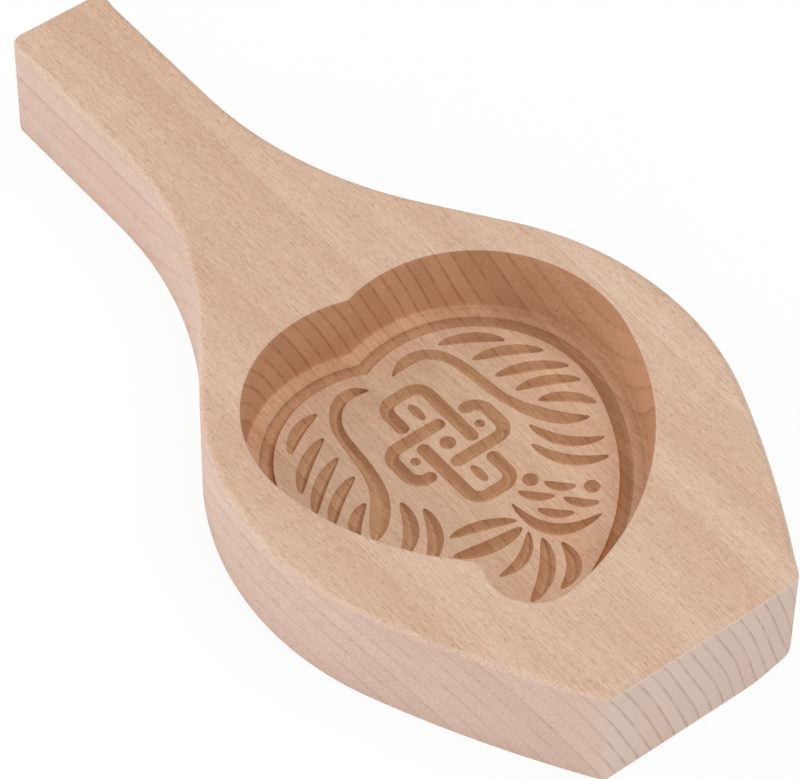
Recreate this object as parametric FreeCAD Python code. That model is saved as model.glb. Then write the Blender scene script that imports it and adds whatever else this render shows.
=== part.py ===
import FreeCAD, Part
import math
import os

os.makedirs("parts", exist_ok=True)

# Mooncake mold carved from one beech board, in millimetres.
# The origin is the middle of the underside. +X runs from the handle to the flat
# head end, +Z points out of the carved face.

# Board.
LENGTH = 240.0
THICKNESS = 28.8
HANDLE_HALF_WIDTH = 13.6
NECK_RADIUS = 100.2
NECK_STRAIGHT = 21.4
SHOULDER_SETBACK = 77.7
HEAD_HALF_WIDTH = 58.8
SHOULDER_RADIUS = 73.7
FLANK_RADIUS = 308.0
END_HALF_WIDTH = 26.7

# Softened edges of the board. One corner of the head, on the -Y side, is left square.
CORNER_RADIUS = 3.5
HEAD_CORNER_RADIUS = 4.5
LONG_EDGE_RADIUS = 2.2
END_EDGE_RADIUS = 0.8
UNDER_EDGE_CHAMFER = 0.8

# Peach-shaped pocket, seen from above: two lobes, two flanks and a tip that turns to -Y.
# Plan points of the pocket and its carving are measured from a point this far from the head end.
POCKET_SETBACK = 120.0
FAR_LOBE = (30.2, 10.3)
FAR_LOBE_RADIUS = 35.9
NEAR_LOBE = (27.9, -12.6)
NEAR_LOBE_RADIUS = 34.0
PEACH_FLANK_RADIUS = 70.9
NEAR_FLANK_TURN = math.radians(81.0)
TIP = (81.2, -15.9)
TIP_RADIUS = 10.8
NOTCH_RADIUS = 3.5
FLOOR_Z = 10.4
WALL_DRAFT = 0.6

# Channel that follows the foot of the wall.
CHANNEL_INSET = 5.6
CHANNEL_WIDTH = 3.2

# Section of every carved cut, from above the floor down to its flat bottom. Each level has
# its share of the depth and the share of the half width that is lost there.
SECTION = [(-0.6, 0.0), (0.5, 0.0), (1.0, 0.5)]
DEPTH_SHARE = 0.56
TIP_TAPER = 2.2
OVERSHOOT = 1.0

# Long stem of each side, from the cleft to the shoulder: plan point and width.
STEM_WIDTH = 3.2
FAR_STEM = [
    (7.8, 3.2, 0.5), (6.3, 7.4, 2.8), (6.5, 11.7, 3.2), (9.0, 15.3, 3.0),
    (13.3, 17.3, 2.8), (21.9, 18.4, 2.8), (30.5, 19.9, 2.9), (36.2, 22.4, 3.7),
    (40.5, 25.3, 3.8), (43.3, 28.5, 2.6), (44.7, 31.2, 0.5),
]
NEAR_STEM = [
    (7.8, -3.8, 0.5), (6.3, -6.8, 2.8), (6.3, -10.4, 3.2), (8.3, -13.6, 3.0),
    (11.9, -16.1, 2.8), (17.2, -17.4, 2.8), (23.0, -18.1, 3.1), (29.1, -19.2, 3.5),
    (33.6, -20.9, 4.2), (38.0, -24.0, 4.7), (41.4, -27.3, 3.8), (44.0, -30.6, 0.6),
]

# Single strokes: start, end, sideways bow (left of start to end is positive), width.
LEAVES = [
    ((6.7, 17.8), (14.6, 30.3), 1.4, 3.2),
    ((15.1, 21.2), (22.6, 35.4), 1.4, 3.3),
    ((22.2, 22.2), (29.7, 36.9), 1.3, 3.2),
    ((28.3, 23.3), (34.7, 36.4), 1.3, 3.2),
    ((33.9, 25.4), (42.2, 34.9), 1.3, 3.2),
    ((6.3, -17.9), (11.9, -29.3), -1.4, 3.2),
    ((13.0, -21.1), (22.6, -34.4), -1.4, 3.3),
    ((19.6, -22.0), (29.4, -35.6), -1.3, 3.2),
    ((26.2, -22.4), (34.7, -34.8), -1.3, 3.2),
    ((33.9, -25.2), (41.4, -33.0), -1.3, 3.2),
]
CRESCENTS = [
    ((38.5, 18.9), (51.3, 29.7), -2.9, 3.2),
    ((43.3, 15.7), (56.2, 26.9), -2.9, 3.3),
    ((38.7, -18.6), (51.3, -28.6), 2.3, 3.7),
    ((43.3, -15.6), (56.4, -25.2), 2.2, 3.7),
]
SCALES = [
    ((53.7, 10.9), (58.4, 15.4), -0.8, 2.6),
    ((59.9, 11.4), (65.3, 16.5), -0.8, 2.6),
    ((52.3, 4.5), (57.7, 9.7), -0.8, 2.6),
    ((58.9, 4.7), (64.2, 10.1), -0.8, 2.6),
]
COLLAR = [((68.2, 14.9), (54.1, 1.1), 6.0, 3.6)]
TAIL = [
    ((69.6, 2.7), (79.3, -5.5), 2.7, 3.6),
    ((66.1, -0.1), (78.2, -13.0), 2.1, 3.8),
    ((62.6, -1.5), (68.4, -13.9), 2.2, 2.9),
    ((60.6, -1.9), (58.0, -18.7), 1.3, 3.8),
    ((58.2, -1.6), (53.2, -15.8), -1.0, 3.0),
]

# Round eyes: plan centre and width.
EYES = [((61.0, 18.4), 3.7), ((51.0, 8.7), 3.7)]

# Interlaced knot of two long loops that cross at right angles.
KNOT_CENTRE = (31.1, 0.8)
KNOT_WIDTH = 3.3
LOOP_HALF_GAP = 5.6
LOOP_CORNER = 3.4
LONG_LOOP_REACH = 17.5
SHORT_LOOP_REACH = 13.4
RIDGE = 0.7
SEED_INSET = 11.4
SEED_LENGTH = 5.0
SEED_WIDTH = 2.4
BEAD_INSET = 9.3
BEAD_WIDTH = 2.4
HEART_WIDTH = 3.8


def vec(point, z=0.0):
    """Plan point at height z."""
    return FreeCAD.Vector(point[0], point[1], z)


def shift(point, direction, distance):
    """Plan point moved by a distance along a unit direction."""
    return (point[0] + direction[0] * distance, point[1] + direction[1] * distance)


def toward(start, end):
    """Unit direction from one plan point to another."""
    span = math.hypot(end[0] - start[0], end[1] - start[1])
    return ((end[0] - start[0]) / span, (end[1] - start[1]) / span)


def circles_meet(first, first_radius, second, second_radius, side):
    """Crossing of two circles, left (side 1) or right (side -1) of the line between centres."""
    along = toward(first, second)
    span = math.hypot(second[0] - first[0], second[1] - first[1])
    reach = (first_radius**2 - second_radius**2 + span**2) / (2 * span)
    rise = math.sqrt(first_radius**2 - reach**2)
    foot = shift(first, along, reach)
    return shift(foot, (-along[1], along[0]), side * rise)


def arc_about(centre, start, end, turn, z):
    """Arc edge at height z from start to end about a centre, turn 1 anticlockwise, -1 clockwise."""
    first = math.atan2(start[1] - centre[1], start[0] - centre[0])
    last = math.atan2(end[1] - centre[1], end[0] - centre[0])
    sweep = (turn * (last - first)) % (2 * math.pi)
    radius = math.hypot(start[0] - centre[0], start[1] - centre[1])
    middle = first + turn * sweep / 2
    halfway = shift(centre, (math.cos(middle), math.sin(middle)), radius)
    return Part.Arc(vec(start, z), vec(halfway, z), vec(end, z)).toShape()


def line(start, end, z):
    """Straight edge at height z between two plan points."""
    return Part.LineSegment(vec(start, z), vec(end, z)).toShape()


def board_side():
    """Joints of the +Y side: handle end, neck, shoulder, flank and head end."""
    shoulder_centre = (LENGTH / 2 - SHOULDER_SETBACK, HEAD_HALF_WIDTH - SHOULDER_RADIUS)
    span = math.hypot(NECK_RADIUS + SHOULDER_RADIUS, NECK_STRAIGHT)
    drop = HANDLE_HALF_WIDTH + NECK_RADIUS - shoulder_centre[1]
    reach = math.sqrt(span**2 - drop**2)
    neck_centre = (shoulder_centre[0] - reach, HANDLE_HALF_WIDTH + NECK_RADIUS)
    tail = (-LENGTH / 2, HANDLE_HALF_WIDTH)
    neck = (neck_centre[0], HANDLE_HALF_WIDTH)
    lean = -math.atan2(drop, reach) - math.atan2(NECK_STRAIGHT, NECK_RADIUS + SHOULDER_RADIUS)
    normal = (math.cos(lean), math.sin(lean))
    neck_end = shift(neck_centre, normal, NECK_RADIUS)
    shoulder_start = shift(shoulder_centre, normal, -SHOULDER_RADIUS)
    head = (LENGTH / 2, END_HALF_WIDTH)
    flank_centre = circles_meet(
        shoulder_centre, FLANK_RADIUS - SHOULDER_RADIUS, head, FLANK_RADIUS, -1
    )
    shoulder_end = shift(flank_centre, toward(flank_centre, shoulder_centre), FLANK_RADIUS)
    return {
        "tail": tail, "neck": neck, "neck_centre": neck_centre, "neck_end": neck_end,
        "shoulder_centre": shoulder_centre, "shoulder_start": shoulder_start,
        "shoulder_end": shoulder_end, "flank_centre": flank_centre, "head": head,
    }


def side_edges(side, flip):
    """Edges of one long side from the handle end to the head end, flip -1 for the -Y side."""
    place = {name: (point[0], flip * point[1]) for name, point in side.items()}
    return [
        line(place["tail"], place["neck"], 0.0),
        arc_about(place["neck_centre"], place["neck"], place["neck_end"], flip, 0.0),
        line(place["neck_end"], place["shoulder_start"], 0.0),
        arc_about(place["shoulder_centre"], place["shoulder_start"], place["shoulder_end"], -flip, 0.0),
        arc_about(place["flank_centre"], place["shoulder_end"], place["head"], -flip, 0.0),
    ]


def board_blank():
    """Board of full thickness with rounded corners in plan."""
    side = board_side()
    tail = side["tail"]
    head = side["head"]
    edges = side_edges(side, 1) + side_edges(side, -1)
    edges.append(line(tail, (tail[0], -tail[1]), 0.0))
    edges.append(line(head, (head[0], -head[1]), 0.0))
    outline = Part.Wire(Part.__sortEdges__(edges))
    blank = Part.Face(outline).extrude(FreeCAD.Vector(0, 0, THICKNESS))
    blank = round_corner(blank, -1, -1, CORNER_RADIUS)
    blank = round_corner(blank, -1, 1, CORNER_RADIUS)
    return round_corner(blank, 1, 1, HEAD_CORNER_RADIUS)


def round_corner(blank, x_side, y_side, radius):
    """Blank with one upright corner of an end face rounded."""
    for edge in blank.Edges:
        foot = edge.Vertexes[0].Point
        if is_upright(edge) and at_end(foot.x) and foot.x * x_side > 0 and foot.y * y_side > 0:
            return blank.makeFillet(radius, [edge])
    return blank


def is_upright(edge):
    """True for a vertical edge."""
    box = edge.BoundBox
    return box.ZLength > THICKNESS / 2 and box.XLength + box.YLength < CORNER_RADIUS / 100


def at_end(x):
    """True for a place on the handle end or the head end."""
    return abs(abs(x) - LENGTH / 2) < CORNER_RADIUS / 100


def soften(blank):
    """Chamfer the underside and round the top edges, tighter on the end faces."""
    under = [edge for edge in blank.Edges if edge.BoundBox.ZMax < OVERSHOOT]
    document = FreeCAD.newDocument()
    source = document.addObject("Part::Feature", "blank")
    source.Shape = blank.makeChamfer(UNDER_EDGE_CHAMFER, under)
    rounds = document.addObject("Part::Fillet", "rounds")
    rounds.Base = source
    table = []
    for index, edge in enumerate(source.Shape.Edges, start=1):
        if edge.BoundBox.ZMin > THICKNESS - OVERSHOOT:
            table.append((index, *top_radii(edge)))
    rounds.Edges = table
    document.recompute()
    return rounds.Shape.Solids[0]


def top_radii(edge):
    """Radii at both ends of a top edge: small on the end faces, larger on the long sides."""
    places = [edge.valueAt(edge.FirstParameter), edge.valueAt(edge.LastParameter)]
    if all(at_end(place.x) for place in places):
        return END_EDGE_RADIUS, END_EDGE_RADIUS
    return [radius_at(place) for place in places]


def radius_at(point):
    """Top edge radius at a point: small where a rounded corner meets an end face."""
    square = point.x > 0 and point.y < 0
    return END_EDGE_RADIUS if at_end(point.x) and not square else LONG_EDGE_RADIUS


def peach_ring(inset, z):
    """Edges of the peach outline set in by a distance, from the cleft round the tip and back."""
    far_radius = FAR_LOBE_RADIUS - inset
    near_radius = NEAR_LOBE_RADIUS - inset
    flank_radius = PEACH_FLANK_RADIUS - inset
    tip_radius = TIP_RADIUS - inset
    notch_radius = NOTCH_RADIUS + inset
    far_flank = circles_meet(
        FAR_LOBE, flank_radius - far_radius, TIP, flank_radius - tip_radius, -1
    )
    back = (-math.cos(NEAR_FLANK_TURN), math.sin(NEAR_FLANK_TURN))
    near_flank = shift(NEAR_LOBE, back, flank_radius - near_radius)
    notch = circles_meet(TIP, tip_radius + notch_radius, near_flank, flank_radius + notch_radius, 1)
    cleft = circles_meet(FAR_LOBE, far_radius, NEAR_LOBE, near_radius, -1)
    far_join = shift(far_flank, toward(far_flank, FAR_LOBE), flank_radius)
    tip_start = shift(far_flank, toward(far_flank, TIP), flank_radius)
    tip_end = shift(notch, toward(notch, TIP), notch_radius)
    notch_end = shift(notch, toward(notch, near_flank), notch_radius)
    near_join = shift(near_flank, toward(near_flank, NEAR_LOBE), flank_radius)
    return [
        arc_about(FAR_LOBE, cleft, far_join, -1, z),
        arc_about(far_flank, far_join, tip_start, -1, z),
        arc_about(TIP, tip_start, tip_end, -1, z),
        arc_about(notch, tip_end, notch_end, 1, z),
        arc_about(near_flank, notch_end, near_join, -1, z),
        arc_about(NEAR_LOBE, near_join, cleft, -1, z),
    ]


def pocket():
    """Peach-shaped pocket with a leaning wall, open above the board."""
    lean = WALL_DRAFT / (THICKNESS - FLOOR_Z)
    foot = Part.Wire(peach_ring(WALL_DRAFT, FLOOR_Z))
    mouth = Part.Wire(peach_ring(-lean * OVERSHOOT, THICKNESS + OVERSHOOT))
    return Part.makeLoft([foot, mouth], True, True)


def levels(width):
    """Height and half width of a cut of this width at each level of the section."""
    depth = DEPTH_SHARE * width
    return [(FLOOR_Z - drop * depth, (1 - loss) * width / 2) for drop, loss in SECTION]


def groove(path, width):
    """Cut of even width along a level path of smoothly joined edges, square at both ends."""
    edge = path.Edges[0]
    start = edge.valueAt(edge.FirstParameter)
    direction = edge.tangentAt(edge.FirstParameter)
    left = FreeCAD.Vector(-direction.y, direction.x, 0)
    steps = levels(width)
    rim = [FreeCAD.Vector(start.x, start.y, z) + left * half for z, half in steps]
    rim += [FreeCAD.Vector(start.x, start.y, z) - left * half for z, half in reversed(steps)]
    sweep = Part.BRepOffsetAPI.MakePipeShell(path)
    sweep.add(Part.makePolygon(rim + rim[:1]))
    sweep.build()
    sweep.makeSolid()
    return sweep.shape()


def pit(centre, width):
    """Round cut: an eye, a bead or the round end of a groove."""
    steps = levels(width)
    section = [FreeCAD.Vector(half, 0, z) for z, half in steps]
    section += [FreeCAD.Vector(0, 0, steps[-1][0]), FreeCAD.Vector(0, 0, steps[0][0])]
    turned = Part.Face(Part.makePolygon(section + section[:1]))
    solid = turned.revolve(FreeCAD.Vector(0, 0, 0), FreeCAD.Vector(0, 0, 1), 360)
    solid.translate(vec(centre))
    return solid


def channel():
    """Channel round the foot of the wall, with a round end where the two lobes meet."""
    edges = peach_ring(CHANNEL_INSET, FLOOR_Z)
    start = edges[0].valueAt(edges[0].FirstParameter)
    return [
        groove(Part.Wire(edges[:3]), CHANNEL_WIDTH),
        groove(Part.Wire(edges[3:]), CHANNEL_WIDTH),
        pit((start.x, start.y), CHANNEL_WIDTH),
    ]


def bowed(first, belly, last, z):
    """Parabola edge at height z through the belly point halfway between two ends."""
    pull = (2 * belly[0] - (first[0] + last[0]) / 2, 2 * belly[1] - (first[1] + last[1]) / 2)
    curve = Part.BezierCurve()
    curve.setPoles([vec(first, z), vec(pull, z), vec(last, z)])
    return curve.toShape()


def stroke_ring(start, end, bow, half, trim, z):
    """Outline of a bowed stroke at height z, trimmed by a distance at both tips."""
    along = toward(start, end)
    across = (-along[1], along[0])
    span = math.hypot(end[0] - start[0], end[1] - start[1])
    middle = shift(start, along, span / 2)
    rise = 4 * bow * trim / span
    first = shift(shift(start, along, trim), across, rise)
    last = shift(shift(end, along, -trim), across, rise)
    left = shift(middle, across, bow + half)
    right = shift(middle, across, bow - half)
    return Part.Wire([bowed(first, left, last, z), bowed(last, right, first, z)])


def stroke(start, end, bow, width):
    """Pointed stroke with a bowed centre line, widest halfway."""
    rings = []
    for z, half in levels(width):
        trim = TIP_TAPER * (width / 2 - half)
        rings.append(stroke_ring(start, end, bow, half, trim, z))
    return Part.makeLoft(rings, True, True)


def stem_rail(points, side, share, z):
    """One long edge of a stem: the centre line set off by a share of its half width."""
    centre = Part.BSplineCurve()
    centre.interpolate([vec(point) for point in points])
    rail = []
    for x, y, width in points:
        along = centre.tangent(centre.parameter(FreeCAD.Vector(x, y, 0)))[0]
        offset = side * share * width / 2
        rail.append(FreeCAD.Vector(x - along.y * offset, y + along.x * offset, z))
    curve = Part.BSplineCurve()
    curve.interpolate(rail)
    return curve


def drawn_in(points, loss):
    """Stem points with both tips drawn in along the stem by a share of the end spacing."""
    inner = list(points)
    for tip, beside in ((0, 1), (-1, -2)):
        ends = zip(points[tip][:2], points[beside][:2])
        place = [near + (far - near) * loss for near, far in ends]
        inner[tip] = (place[0], place[1], points[tip][2])
    return inner


def stem_ring(points, loss, z):
    """Outline of a stem at height z with a share of its width lost."""
    inner = drawn_in(points, loss)
    left = stem_rail(inner, 1, 1 - loss, z)
    right = stem_rail(inner, -1, 1 - loss, z)
    near = Part.LineSegment(right.StartPoint, left.StartPoint).toShape()
    far = Part.LineSegment(left.EndPoint, right.EndPoint).toShape()
    return Part.Wire([near, left.toShape(), far, right.toShape()])


def stem(points):
    """Long carved stem of varying width along a smooth line, with pointed ends."""
    depth = DEPTH_SHARE * STEM_WIDTH
    rings = [stem_ring(points, loss, FLOOR_Z - drop * depth) for drop, loss in SECTION]
    return Part.makeLoft(rings, True, True)


def carving():
    """All strokes of the carved floor."""
    singles = LEAVES + CRESCENTS + SCALES + COLLAR + TAIL
    cuts = [stroke(*single) for single in singles]
    cuts += [stem(FAR_STEM), stem(NEAR_STEM)]
    cuts += [pit(*place) for place in EYES]
    return cuts


def knot():
    """Interlaced knot: four hooks with round ends, a heart bead, two seeds and two beads."""
    cuts = []
    for reach, turn in ((LONG_LOOP_REACH, 0), (SHORT_LOOP_REACH, 90)):
        cuts += hook(reach, turn) + hook(reach, turn + 180)
    cuts.append(pit(KNOT_CENTRE, HEART_WIDTH))
    for side in (1, -1):
        cuts.append(pit(shift(KNOT_CENTRE, (0, 1), side * BEAD_INSET), BEAD_WIDTH))
        inner = shift(KNOT_CENTRE, (1, 0), side * (SEED_INSET - SEED_LENGTH / 2))
        outer = shift(KNOT_CENTRE, (1, 0), side * (SEED_INSET + SEED_LENGTH / 2))
        cuts.append(stroke(inner, outer, 0.0, SEED_WIDTH))
    return cuts


def hook(reach, turn):
    """One hook of the knot: half of a loop with rounded corners and round ends."""
    gap = KNOT_WIDTH + RIDGE
    bend = reach - LOOP_CORNER
    side = LOOP_HALF_GAP - LOOP_CORNER
    upper = LOOP_HALF_GAP
    path = Part.Wire([
        line((upper + gap, upper), (bend, upper), FLOOR_Z),
        arc_about((bend, side), (bend, upper), (reach, side), -1, FLOOR_Z),
        line((reach, side), (reach, -side), FLOOR_Z),
        arc_about((bend, -side), (reach, -side), (bend, -upper), -1, FLOOR_Z),
        line((bend, -upper), (gap - upper, -upper), FLOOR_Z),
    ])
    cuts = [
        groove(path, KNOT_WIDTH),
        pit((upper + gap, upper), KNOT_WIDTH),
        pit((gap - upper, -upper), KNOT_WIDTH),
    ]
    for cut in cuts:
        cut.rotate(FreeCAD.Vector(0, 0, 0), FreeCAD.Vector(0, 0, 1), turn)
        cut.translate(vec(KNOT_CENTRE))
    return cuts


def mold_body():
    """Carved board, with the pocket and its carving placed from the head end."""
    body = soften(board_blank())
    place = FreeCAD.Vector(LENGTH / 2 - POCKET_SETBACK, 0, 0)
    for cut in [pocket()] + channel() + carving() + knot():
        cut.translate(place)
        body = body.cut(cut)
    return body.Solids[0]


mold_body().exportStep("parts/mold_body.step")
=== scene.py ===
"""Looks of a one-piece beech cake mold: a handled board with a carved peach-shaped pocket.

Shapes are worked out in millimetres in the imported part's own frame, with the underside at
height 0, and become metres when their mesh is made.
"""

import logging
import math
from dataclasses import dataclass, field
from enum import Enum
from typing import NamedTuple

import bmesh
import bpy
import numpy as np
from mathutils import Matrix, Vector
from mathutils.geometry import delaunay_2d_cdt


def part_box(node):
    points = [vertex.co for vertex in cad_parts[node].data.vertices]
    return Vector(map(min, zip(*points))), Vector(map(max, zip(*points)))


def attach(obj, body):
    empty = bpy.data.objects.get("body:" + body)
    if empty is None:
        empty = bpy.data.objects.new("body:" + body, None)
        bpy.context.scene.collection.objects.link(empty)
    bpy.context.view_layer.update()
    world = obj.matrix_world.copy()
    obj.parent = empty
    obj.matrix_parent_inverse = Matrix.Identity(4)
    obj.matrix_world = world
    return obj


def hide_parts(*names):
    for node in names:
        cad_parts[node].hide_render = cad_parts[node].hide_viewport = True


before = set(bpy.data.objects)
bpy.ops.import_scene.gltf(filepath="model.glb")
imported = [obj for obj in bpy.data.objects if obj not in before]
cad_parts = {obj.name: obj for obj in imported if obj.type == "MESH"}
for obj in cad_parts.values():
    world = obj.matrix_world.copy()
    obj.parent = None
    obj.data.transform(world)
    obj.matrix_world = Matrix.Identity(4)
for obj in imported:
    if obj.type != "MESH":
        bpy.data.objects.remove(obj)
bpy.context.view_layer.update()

log = logging.getLogger("mold")

MM = 0.001
NODE = "mold_body"
BODY = "root"
CUT_LAYER = "cut"

# Patches are welded where their corners lie this near. Triangulation merges corners only when
# they are nearer still, and leaves out what lies outside all loops.
WELD_MM = 0.0005
MERGE_MM = 0.00005
INSIDE_ONLY = 1

Pair = tuple[float, float]
Triple = tuple[float, float, float]
Stroke = tuple[Pair, Pair, float, float]


class Cut(Enum):
    """How a surface of the mold was worked, as the number that its faces carry."""

    SANDED = 0.0
    LEVELLED = 0.25
    LEDGE = 0.5
    MILLED = 0.75
    CARVED = 1.0


def linear(code: str) -> tuple[float, float, float, float]:
    """Turn an sRGB hex value into linear colour by the sRGB curve.

    Args:
        code: Six hex digits after a hash sign.

    Returns:
        Linear red, green, blue and full opacity.
    """
    shares = [int(code[place:place + 2], 16) / 255 for place in (1, 3, 5)]
    steps = [s / 12.92 if s <= 0.04045 else ((s + 0.055) / 1.055) ** 2.4 for s in shares]
    return (steps[0], steps[1], steps[2], 1.0)


def smooth_step(low: float, high: float, values: np.ndarray) -> np.ndarray:
    """Rise from 0 at low to 1 at high along the cubic 3t^2 - 2t^3."""
    share = np.clip((values - low) / (high - low), 0.0, 1.0)
    return share * share * (3 - 2 * share)


def unit(vector: np.ndarray) -> np.ndarray:
    """Scale each row to length 1."""
    return vector / np.linalg.norm(vector, axis=-1, keepdims=True)


def circles_meet(first: Pair, first_radius: float, second: Pair, second_radius: float,
                 side: int) -> np.ndarray:
    """Find where two circles cross.

    Args:
        first: Centre of the first circle.
        first_radius: Its radius.
        second: Centre of the second circle.
        second_radius: Its radius.
        side: 1 for the crossing left of the line between the centres, -1 for the right.

    Returns:
        The crossing in plan.
    """
    start = np.asarray(first, float)
    across = np.asarray(second, float) - start
    span = float(np.hypot(*across))
    along = across / span
    reach = (first_radius**2 - second_radius**2 + span**2) / (2 * span)
    rise = math.sqrt(first_radius**2 - reach**2)
    return start + along * reach + np.array([-along[1], along[0]]) * side * rise


@dataclass(frozen=True)
class Run:
    """Straight stretch of an outline."""

    start: np.ndarray
    end: np.ndarray

    def length(self) -> float:
        """Length in millimetres."""
        return float(np.hypot(*(self.end - self.start)))

    def at(self, share: np.ndarray) -> tuple[np.ndarray, np.ndarray]:
        """Place points on the stretch.

        Args:
            share: Shares of the length.

        Returns:
            The points and their right-hand normals.
        """
        along = (self.end - self.start) / self.length()
        points = self.start + share[:, None] * (self.end - self.start)
        return points, np.broadcast_to([along[1], -along[0]], points.shape)


@dataclass(frozen=True)
class Arc:
    """Round stretch of an outline, with a positive sweep anticlockwise."""

    centre: np.ndarray
    radius: float
    start: float
    sweep: float

    @classmethod
    def about(cls, centre: np.ndarray, start: np.ndarray, end: np.ndarray, turn: int) -> "Arc":
        """Make the arc about a centre from one point to another.

        Args:
            centre: Centre of the arc.
            start: First point.
            end: Point in the direction of the last one.
            turn: 1 anticlockwise, -1 clockwise.

        Returns:
            The arc.
        """
        first = math.atan2(start[1] - centre[1], start[0] - centre[0])
        last = math.atan2(end[1] - centre[1], end[0] - centre[0])
        sweep = (turn * (last - first)) % (2 * math.pi)
        return cls(np.asarray(centre), float(np.hypot(*(start - centre))), first, turn * sweep)

    def length(self) -> float:
        """Length in millimetres."""
        return self.radius * abs(self.sweep)

    def at(self, share: np.ndarray) -> tuple[np.ndarray, np.ndarray]:
        """Place points on the arc.

        Args:
            share: Shares of the length.

        Returns:
            The points and their right-hand normals.
        """
        angle = self.start + self.sweep * share
        spoke = np.stack([np.cos(angle), np.sin(angle)], axis=1)
        return self.centre + self.radius * spoke, spoke * math.copysign(1.0, self.sweep)


def sample(parts: list[Run | Arc], counts: list[int]) -> tuple[np.ndarray, np.ndarray]:
    """Place points round a closed outline.

    Args:
        parts: The stretches in order.
        counts: Points on each stretch, its end left out.

    Returns:
        The points and their right-hand normals.
    """
    pieces = [part.at(np.arange(count) / count) for part, count in zip(parts, counts)]
    return np.concatenate([p for p, _ in pieces]), np.concatenate([n for _, n in pieces])


def spread(parts: list[Run | Arc], step: float, least: int) -> list[int]:
    """Count the points that each stretch gets at about one per step, and at least some."""
    return [max(least, math.ceil(part.length() / step)) for part in parts]


@dataclass
class Skin:
    """Patches of one closed surface, which are welded where they meet."""

    points: list[np.ndarray] = field(default_factory=list)
    faces: list[list[int]] = field(default_factory=list)
    smooth: list[bool] = field(default_factory=list)
    cut: list[float] = field(default_factory=list)
    total: int = 0

    def add(self, points: np.ndarray, faces: list[list[int]], smooth: bool, cut: Cut) -> None:
        """Take in one patch.

        Args:
            points: Its corners in millimetres.
            faces: Its faces, counted from its own first corner.
            smooth: True where the surface is round.
            cut: How the surface was worked.
        """
        self.points.append(points)
        self.faces += (np.asarray(faces) + self.total).tolist()
        self.smooth += [smooth] * len(faces)
        self.cut += [cut.value] * len(faces)
        self.total += len(points)

    def add_grid(self, rows: np.ndarray, closed: bool, cut: Cut) -> None:
        """Take in a grid of corners as quads.

        Args:
            rows: Corners by row and column.
            closed: True where the last column joins the first.
            cut: How the surface was worked.
        """
        height, width = rows.shape[:2]
        number = np.arange(height * width).reshape(height, width)
        if closed:
            number = np.concatenate([number, number[:, :1]], axis=1)
        quads = [number[:-1, :-1], number[:-1, 1:], number[1:, 1:], number[1:, :-1]]
        faces = np.stack([quad.ravel() for quad in quads], axis=1)
        self.add(rows.reshape(-1, 3), faces.tolist(), True, cut)

    def add_flat(self, loops: list[np.ndarray], height: float, cut: Cut) -> None:
        """Take in the level face between an outer loop and the loops inside it.

        The triangles are the constrained Delaunay triangles of the loops' own corners.

        Args:
            loops: The outer loop and then each hole, in plan.
            height: Height of the face.
            cut: How the surface was worked.
        """
        loops = [anticlockwise(loop) for loop in loops]
        given = np.concatenate(loops)
        ends = np.cumsum([0] + [len(loop) for loop in loops])
        rings = [list(range(low, high)) for low, high in zip(ends[:-1], ends[1:])]
        corners, _, triangles, _, _, owners = delaunay_2d_cdt(
            [Vector(point) for point in given], [], rings, INSIDE_ONLY, MERGE_MM)
        if len(corners) != len(given):
            log.warning("level face at %.1f mm: loops cross or touch", height)
        plan = np.array([tuple(point) for point in corners])
        faces = [list(face) for face, inside in zip(triangles, owners) if list(inside) == [0]]
        self.add(lift(plan, height), faces, False, cut)

    def build(self, name: str) -> bpy.types.Object:
        """Weld the patches into one closed mesh with its faces outwards.

        Args:
            name: Name of the piece.

        Returns:
            The new object, at the origin.
        """
        mesh = bpy.data.meshes.new(name)
        mesh.from_pydata((np.concatenate(self.points) * MM).tolist(), [], self.faces)
        mesh.polygons.foreach_set("use_smooth", self.smooth)
        worked = mesh.attributes.new(CUT_LAYER, "FLOAT", "FACE")
        worked.data.foreach_set("value", self.cut)
        shell = bmesh.new()
        shell.from_mesh(mesh)
        bmesh.ops.remove_doubles(shell, verts=shell.verts, dist=WELD_MM * MM)
        bmesh.ops.recalc_face_normals(shell, faces=shell.faces)
        open_edges = sum(1 for edge in shell.edges if len(edge.link_faces) != 2)
        shell.to_mesh(mesh)
        shell.free()
        piece = bpy.data.objects.new(name, mesh)
        bpy.context.scene.collection.objects.link(piece)
        log.info("%s: %d faces, %d open edges", name, len(mesh.polygons), open_edges)
        return piece


def anticlockwise(loop: np.ndarray) -> np.ndarray:
    """Turn a closed loop round where its area by the shoelace sum is negative.

    Args:
        loop: Corners in plan.

    Returns:
        The corners, anticlockwise.
    """
    ahead = np.roll(loop, -1, axis=0)
    area = float(np.sum(loop[:, 0] * ahead[:, 1] - ahead[:, 0] * loop[:, 1]))
    return loop if area > 0 else loop[::-1]


def lift(plan: np.ndarray, height: np.ndarray | float) -> np.ndarray:
    """Give plan points a height."""
    return np.column_stack([plan, np.broadcast_to(height, len(plan))])


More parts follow.
